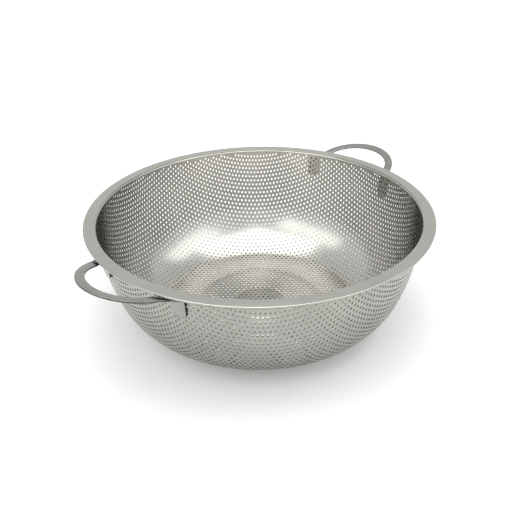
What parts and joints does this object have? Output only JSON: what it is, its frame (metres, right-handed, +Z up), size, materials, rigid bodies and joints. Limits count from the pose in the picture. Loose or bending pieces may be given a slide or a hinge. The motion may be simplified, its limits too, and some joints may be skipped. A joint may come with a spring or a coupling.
{
  "type": "colander",
  "caption": "Wide stainless-steel draining bowl, perforated all over with small round holes, with a plain folded rim, a flat base and two small flat loop handles.",
  "frame": {"origin": "centre of the bowl's underside, on the plane it stands on", "axes": "+Z up, +X and -X through the two handles"},
  "size_m": [0.2876, 0.24, 0.0844],
  "materials": {
    "perforated_sheet": "satin pressed stainless sheet with round holes",
    "rim_steel": "satin stainless, fine grain along the rim",
    "handle_steel": "satin stainless, smooth stamped strip",
    "weld": "dull spot-weld metal"
  },
  "bodies": {
    "root": {"bowl_shell": "perforated_sheet", "rim_band": "rim_steel", "handle_right": "handle_steel", "handle_left": "handle_steel", "weld_right_front_lower": "weld", "weld_right_front_upper": "weld", "weld_right_back_lower": "weld", "weld_right_back_upper": "weld", "weld_left_front_lower": "weld", "weld_left_front_upper": "weld", "weld_left_back_lower": "weld", "weld_left_back_upper": "weld"}
  },
  "joints": []
}
